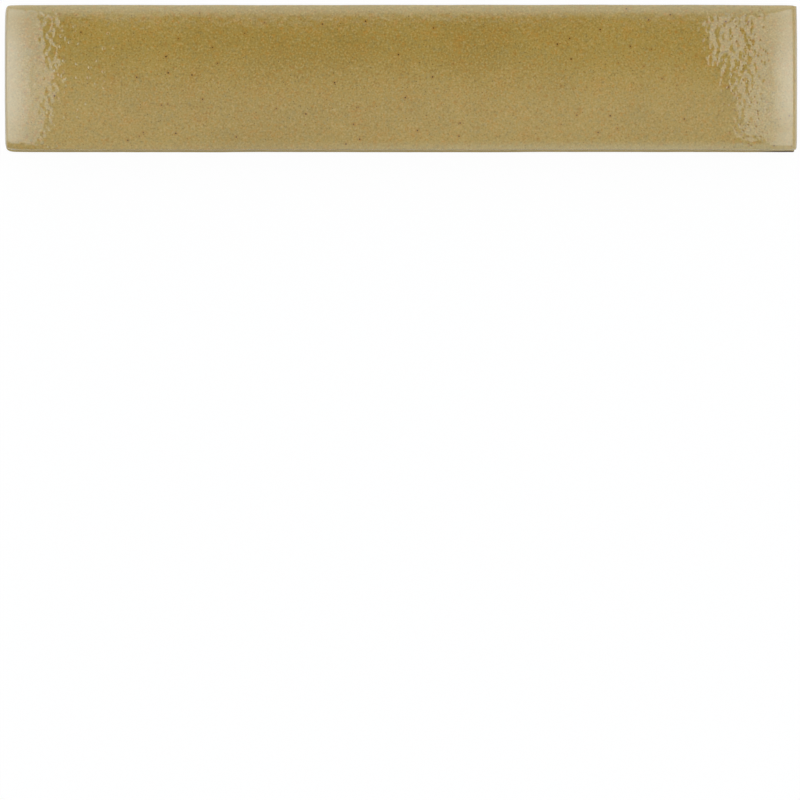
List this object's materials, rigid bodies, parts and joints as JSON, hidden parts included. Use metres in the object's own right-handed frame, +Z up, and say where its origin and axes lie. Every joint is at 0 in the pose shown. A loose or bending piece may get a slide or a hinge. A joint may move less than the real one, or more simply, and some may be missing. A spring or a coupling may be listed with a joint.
{
  "type": "pencil liner tile",
  "caption": "Narrow glazed ceramic liner tile with a low crowned face, rolled edges, a bare foot and lengthwise keying grooves in its back.",
  "frame": {"origin": "middle of the back, on the plane of the back's lands", "axes": "+X along the tile, +Y across its face towards the edge that the picture shows at the top, +Z up from the back to the glazed face"},
  "size_m": [0.152, 0.0284, 0.011],
  "materials": {
    "honey_glaze": "gloss, mottled honey glaze with small dark iron specks, over a buff clay body"
  },
  "bodies": {
    "root": {"liner_tile": "honey_glaze"}
  },
  "joints": []
}
